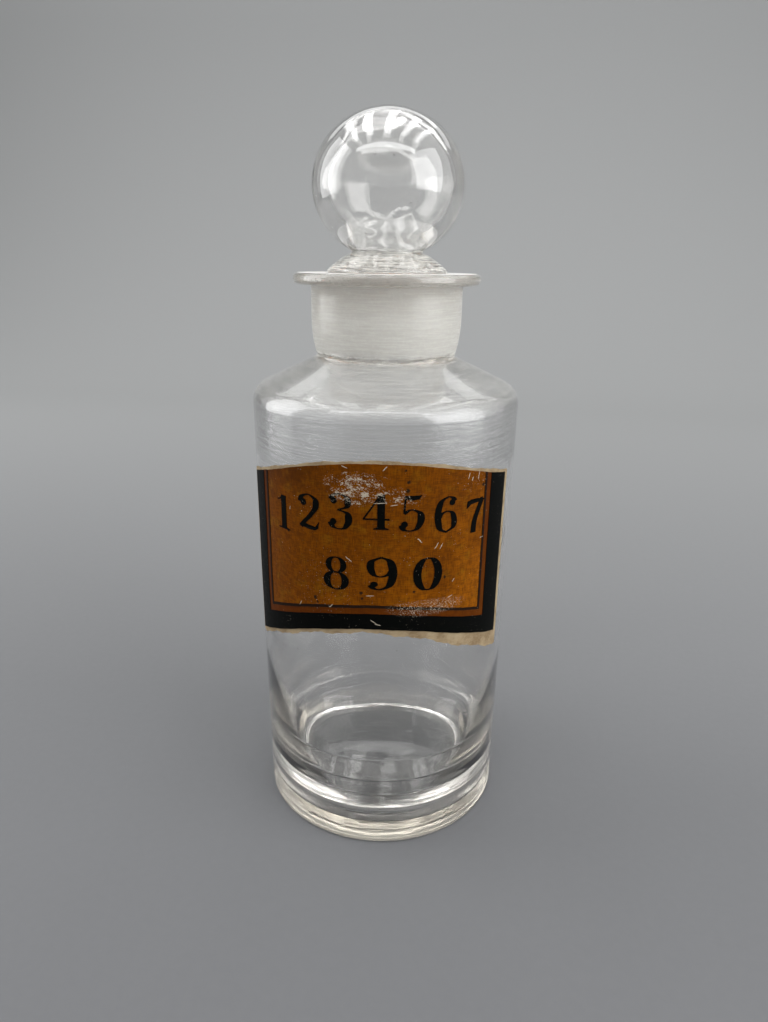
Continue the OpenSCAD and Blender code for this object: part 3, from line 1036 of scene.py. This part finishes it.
def wear(finish, u, v):
    """White flecks and scratches, a painted highlight of white streaks at the upper right, and dark
    spots.
    """
    spray = finish.noise((u, v, 0), 1.7, 2, 0.6)
    grit = finish.noise((u, v, 4), 3.4, 1, 0.5)
    drift = finish.noise((u, v, 9), 0.11, 2, 0.5)
    white = (spray + drift * 0.22).over(0.83, 0.87)
    scuff = patch(u, v, (-3.6, 139), (15, 8)).math(
        "MAXIMUM", patch(u, v, (9, 136.4), (11, 4.5)) * 0.8)
    smear = finish.noise((u * 0.5, v * 1.2, 6), 0.5, 3, 0.6)
    dots = finish.noise((u * 0.8, v, 2), 2.2, 3, 0.75)
    white += (dots * 0.62 + smear * 0.5 + scuff * 0.16).over(0.72, 0.81) * scuff
    white += patch(u, v, (20, 97.8), (16, 3.4)) * grit.over(0.56, 0.66)
    flecks = spray * 0.6 + grit * 0.4
    white += patch(u, v, (-15, 104), (13, 12)) * flecks.over(0.63, 0.68)
    # Painted highlight: this flecked white patch at the upper right stands in for a glint on the
    # lacquer.
    white += patch(u, v, (36, 139.8), (7, 4.5)) * flecks.over(0.6, 0.68)
    for *place, angle, length in SCRATCHES:
        white += scratch(u + (spray - 0.5) * 0.7, v, place, angle, length)
    dark = 0
    for *place, r in SPOTS:
        dark = patch(u + (spray - 0.5) * 1.2, v + (grit - 0.5) * 0.8, place, (r, r)) + dark
    return white.math("MINIMUM", 1), dark.math("MINIMUM", 1)


# %% [markdown]
# ## Gilding
#
# The gilt face is an amber lacquer over metal leaf. It is dull with age, darker towards the upper
# left and lighter towards the lower right, and red-brown between the rule and the border. The
# brush and the paper's laid lines leave a fine weave in it.

# %% Colours of the label
AMBER, LIGHT_AMBER = (0.165, 0.046, 0.0015, 1), (0.29, 0.087, 0.003, 1)
DEEP_AMBER, RED_BROWN = (0.06, 0.017, 0.002, 1), (0.07, 0.015, 0.002, 1)
OLD_GOLD = (0.21, 0.085, 0.004, 1)
# The residue colour is real residue, and also the white of the painted highlight at the upper
# right.
RESIDUE_AND_PAINTED_GLINT, SPOT_BROWN = (0.50, 0.44, 0.35, 1), (0.02, 0.012, 0.006, 1)
BLACK_PAINT, WORN_PAINT = (0.002, 0.0023, 0.002, 1), (0.018, 0.014, 0.009, 1)
RULE_INK, WORN_INK = (0.015, 0.008, 0.005, 1), (0.06, 0.027, 0.01, 1)
TAN, STAIN, FIBRE = (0.36, 0.27, 0.155, 1), (0.20, 0.13, 0.06, 1), (0.46, 0.38, 0.26, 1)
AGED_SHINE = 0.03


def arch_height(x, crown, r):
    """The arch of the border's inner edge, as a socket."""
    return (r * r - (x - crown_x) * (x - crown_x)).math("SQRT") + (crown - r)


def gilt():
    """Amber lacquer over leaf, with its weave, its dark parts and its wear."""
    finish = Finish("amber_gilding")
    u, v = on_label(finish)
    x = finish.place()[0]
    white, dark = wear(finish, u, v)
    cloud = finish.noise((u, v, 2), 0.07, 3, 0.55)
    mottle = finish.noise((u, v, 5), 0.55, 4, 0.65)
    weft = finish.noise((u * 0.35, v * 3, 1), 1, 2, 0.5)
    warp = finish.noise((u * 3, v * 0.3, 7), 1, 2, 0.5)
    weave = weft * 0.5 + warp * 0.5
    gleam = (u * 0.008 - v * 0.012 + 1.47 + (cloud - 0.5) * 1.6).over(0, 0.75)
    colour = finish.blend(gleam, AMBER, LIGHT_AMBER)
    gold = finish.noise((u, v, 12), 0.16, 4, 0.6).over(0.5, 0.72)
    colour = finish.blend(gold * 0.6, colour, OLD_GOLD)
    gloom = v * 0.028 - u * 0.016 - 3.98 + (cloud - 0.5) * 1.6 + (mottle - 0.5) * 0.5
    colour = finish.blend(gloom.over(0, 0.85) * 0.85, colour, DEEP_AMBER)
    colour = finish.blend((weave + mottle * 0.6).over(0.66, 0.95) * 0.6, colour, DEEP_AMBER)
    band = (u.math("ABSOLUTE") + (mottle - 0.5) * 0.6).over(rule_u - 0.4, rule_u + 0.2)
    sill = arch_height(x, label_z + border_foot_h + rule_gap, window_arch_r + rule_gap)
    colour = finish.blend(band.math("MAXIMUM", (sill - v).over(-0.3, 0.3)) * 0.8, colour, RED_BROWN)
    colour = finish.blend(dark, colour, SPOT_BROWN)
    # Residue white, and the painted highlight at the upper right.
    colour = finish.blend(white * 0.85, colour, RESIDUE_AND_PAINTED_GLINT)
    finish.shine(Base_Color=colour, Roughness=0.3 + mottle * 0.2 + white * 0.4,
                 Specular_IOR_Level=AGED_SHINE,
                 Normal=finish.bump(weave * 0.7 + white * 0.8 + mottle * 0.4, 0.07, 0.6))
    return finish.done()


def black_paint(name, base, worn):
    """Brushed black paint, worn brown in streaks, with the scratches of the whole label."""
    finish = Finish(name)
    u, v = on_label(finish)
    white = wear(finish, u, v)[0]
    streak = finish.noise((u * 0.25, v * 3.2, 3), 1, 3, 0.6)
    rub = finish.noise((u, v, 8), 0.5, 4, 0.7)
    colour = finish.blend((streak * 0.5 + rub * 0.5).over(0.52, 0.72) * 0.35, base, worn)
    # Residue white, and the painted highlight at the upper right.
    colour = finish.blend(white * 0.8, colour, RESIDUE_AND_PAINTED_GLINT)
    finish.shine(Base_Color=colour, Roughness=0.34 + rub * 0.25 + white * 0.3,
                 Specular_IOR_Level=AGED_SHINE,
                 Normal=finish.bump(streak * 0.5 + rub * 0.4 + white * 0.6, 0.06, 0.5))
    return finish.done()


# %% [markdown]
# ## Paper
#
# Where the print has gone, the pasted paper shows: tan, stained darker along its torn edges, with
# soft fibres that give it a nap and no gloss at all.


# %% Paper
def aged_paper():
    """Tan paper with stains and a nap."""
    finish = Finish("aged_paper")
    u, v = on_label(finish)
    stain = finish.noise((u, v, 1), 0.16, 4, 0.6)
    fibre = finish.noise((u * 0.8, v * 2.4, 3), 1.2, 4, 0.7)
    colour = finish.blend(stain.over(0.35, 0.68), TAN, STAIN)
    colour = finish.blend(fibre.over(0.35, 0.75) * 0.4, colour, FIBRE)
    finish.shine(Base_Color=colour, Roughness=NO_GLOSS, Normal=finish.bump(fibre, 0.12, 0.8))
    return finish.done()


# %% Dress the label
black = black_paint("black_paint", BLACK_PAINT, WORN_PAINT)
for piece, node, slot, material in (
        (paper, "label_paper", "paper", aged_paper()),
        (gilding, "label_gilding", "gilding", gilt()),
        (border, "label_border", "border_paint", black),
        (rule, "label_rule", "rule_paint", black_paint("rule_ink", RULE_INK, WORN_INK)),
        (numerals, None, "border_paint", black)):
    piece.data.materials.clear()
    piece.data.materials.append(material)
    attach(piece, "bottle")
    if node:
        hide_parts(node)

# %% [markdown]
# ## The room
#
# The bottle stands on a plain pale sheet that sweeps up behind it, with painted shade that darkens
# it towards the front. Two walls of soft light stand at its sides, a row of long lamps hangs over
# it, and a wide lamp hangs high in front and another behind. So the glass has pale reflections with
# dark gaps between them, a bright line along its shoulder and a lit foot, and the open front gives
# the dark middle of the ball.


# %% Floor
# The darker near grey is painted shade, for the lamps' light falling off towards the front.
PAINTED_SHADE_NEAR_GREY, FAR_GREY = (0.135, 0.138, 0.145, 1), (0.305, 0.31, 0.31, 1)
wall_foot_y, sweep_r, wall_rise = 0.8, 0.7, 1.4


def pale_sheet():
    """A pale grey paper with painted shade: darker towards the front, for the lamps' light falling
    off.
    """
    finish = Finish("pale_sheet")
    x, y, z = finish.place()
    weave = finish.noise((x * 0.3, y * 0.3, z * 0.3), 1, 2, 0.5)
    # Painted shade: the sheet darkens towards the front.
    shade = y.over(-300, 900) * 0.94 + weave * 0.06
    finish.shine(Base_Color=finish.blend(shade, PAINTED_SHADE_NEAR_GREY, FAR_GREY), Roughness=NO_GLOSS)
    return finish.done()


deselect()
bpy.ops.mesh.primitive_plane_add(size=1, location=(0, 0, 0))
floor = bpy.context.object
floor.name = "floor"
floor.scale = (4.4, 2.6, 1)
floor.location = (0, wall_foot_y - floor.scale.y / 2, -0.2 * MM)
settle()
select_parts(floor, "EDGE",
             lambda edge: all(floor.data.vertices[i].co.y > 0 for i in edge.vertices))
bpy.ops.mesh.spin(steps=24, angle=-math.pi / 2, center=(0, wall_foot_y, sweep_r), axis=(1, 0, 0))
bpy.ops.mesh.extrude_region_move(TRANSFORM_OT_translate={"value": (0, 0, wall_rise)})
face_out(merge=MM)
bpy.ops.object.shade_smooth()
floor.data.materials.append(pale_sheet())


# %% Lamps and world
def lamp(name, place, aim, width, height, power):
    """A soft flat lamp at a place in metres, turned to face a point."""
    light = bpy.data.lights.new(name, "AREA")
    light.shape = "RECTANGLE"
    light.size, light.size_y = width, height
    light.energy = power
    holder = bpy.data.objects.new(name, light)
    bpy.context.scene.collection.objects.link(holder)
    holder.location = place
    holder.rotation_euler = (Vector(aim) - Vector(place)).to_track_quat("-Z", "Y").to_euler()


lamp("left_panel", (-1.15, 0.07, 0.55), (0, 0, 0.2), 0.8, 1.3, 7)
lamp("right_panel", (1.1, -0.42, 0.55), (0, 0, 0.2), 1.1, 1.3, 12)
for side in (-0.88, -0.44, 0, 0.44, 0.88):
    lamp("overhead_panel", (side, 0.36, 1.6), (side, 0.36, 0), 0.17, 1.5, 2)
lamp("high_front_panel", (0, -0.85, 1.5), (0, 0, 0.15), 2.2, 0.22, 6.5)
lamp("high_back_panel", (0, 1.25, 1.3), (0, 0, 0.1), 2.6, 0.3, 2.6)

world = bpy.data.worlds.new("room")
world.use_nodes = True
world.node_tree.nodes["Background"].inputs["Color"].default_value = (0.72, 0.72, 0.725, 1)
bpy.context.scene.world = world
bpy.context.scene.view_settings.view_transform = "Standard"
cycles = bpy.context.scene.cycles
cycles.max_bounces = cycles.transmission_bounces = 64
cycles.glossy_bounces, cycles.diffuse_bounces = 12, 8

# %% [markdown]
# ## The camera
#
# The photograph's camera stands a quarter of a metre in front of the bottle and just over its
# mouth, looks down by 19 degrees and leans by less than one. Its place was found from the ovals of
# foot, shoulder and lip.

# %% Camera
frame_h, focal_px = 1022, 709.3
camera_far, camera_up, camera_side = 256.05 * MM, 205.92 * MM, -0.086 * MM
camera_turn, camera_down, camera_lean = math.radians(6), math.radians(19.4475), math.radians(0.684)

eye = bpy.data.objects.new("camera", bpy.data.cameras.new("camera"))
bpy.context.scene.collection.objects.link(eye)
right_way = Vector((math.cos(camera_turn), math.sin(camera_turn), 0))
back_way = Vector((math.sin(camera_turn), -math.cos(camera_turn), 0))
eye_place = back_way * camera_far + right_way * camera_side + Vector((0, 0, camera_up))
eye.matrix_world = Matrix.Translation(eye_place) @ Matrix.Rotation(camera_turn, 4, "Z") \
    @ Matrix.Rotation(math.pi / 2 - camera_down, 4, "X") @ Matrix.Rotation(camera_lean, 4, "Z")
eye.data.sensor_width = 36
eye.data.lens = focal_px / frame_h * eye.data.sensor_width
eye.data.clip_start = 0.01
bpy.context.scene.camera = eye
